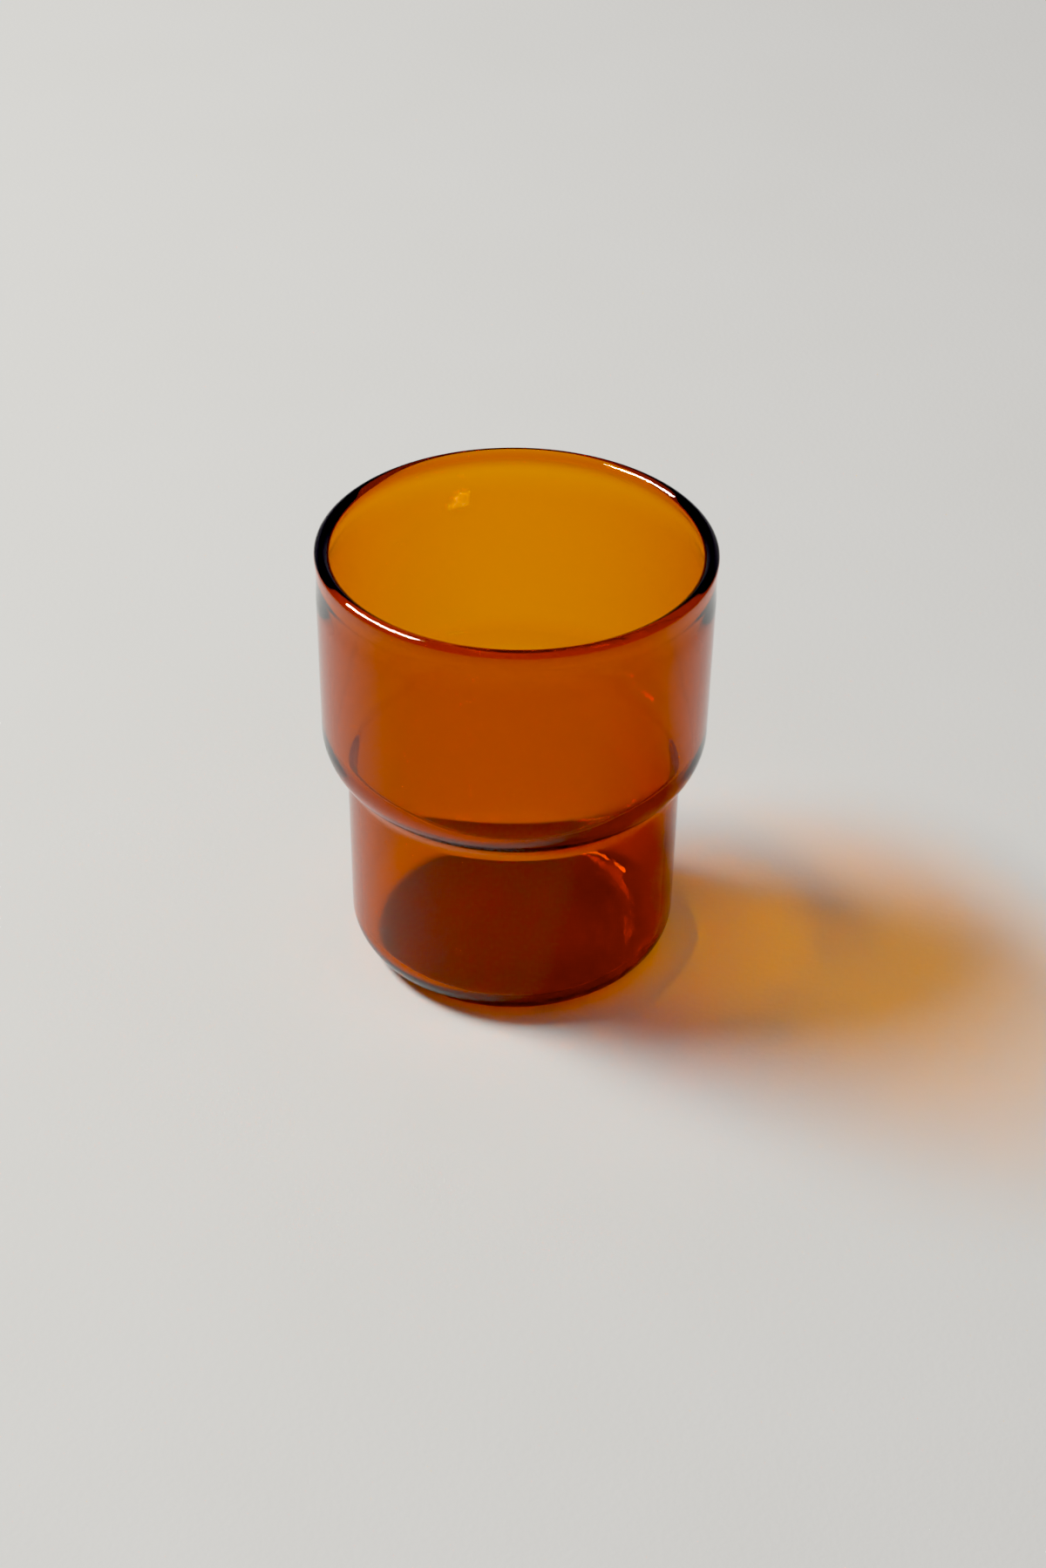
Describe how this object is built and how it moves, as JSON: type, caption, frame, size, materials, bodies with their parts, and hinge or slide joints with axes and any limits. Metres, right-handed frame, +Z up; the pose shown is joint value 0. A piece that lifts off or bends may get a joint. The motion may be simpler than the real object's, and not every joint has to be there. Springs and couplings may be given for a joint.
{
  "type": "stackable drinking glass",
  "caption": "Amber stackable tumbler: a wide bowl over a narrower barrel, with a rounded shoulder that seats on the rim of the glass below.",
  "frame": {"origin": "on the standing plane, under the middle of the foot", "axes": "+Z up along the glass's axis, from the foot to the rim; X and Y are alike, because the glass is round"},
  "size_m": [0.08, 0.08, 0.0943],
  "materials": {
    "amber_glass": "clear, smooth, fire-polished, tinted amber through its thickness"
  },
  "bodies": {
    "root": {"tumbler": "amber_glass"}
  },
  "joints": []
}
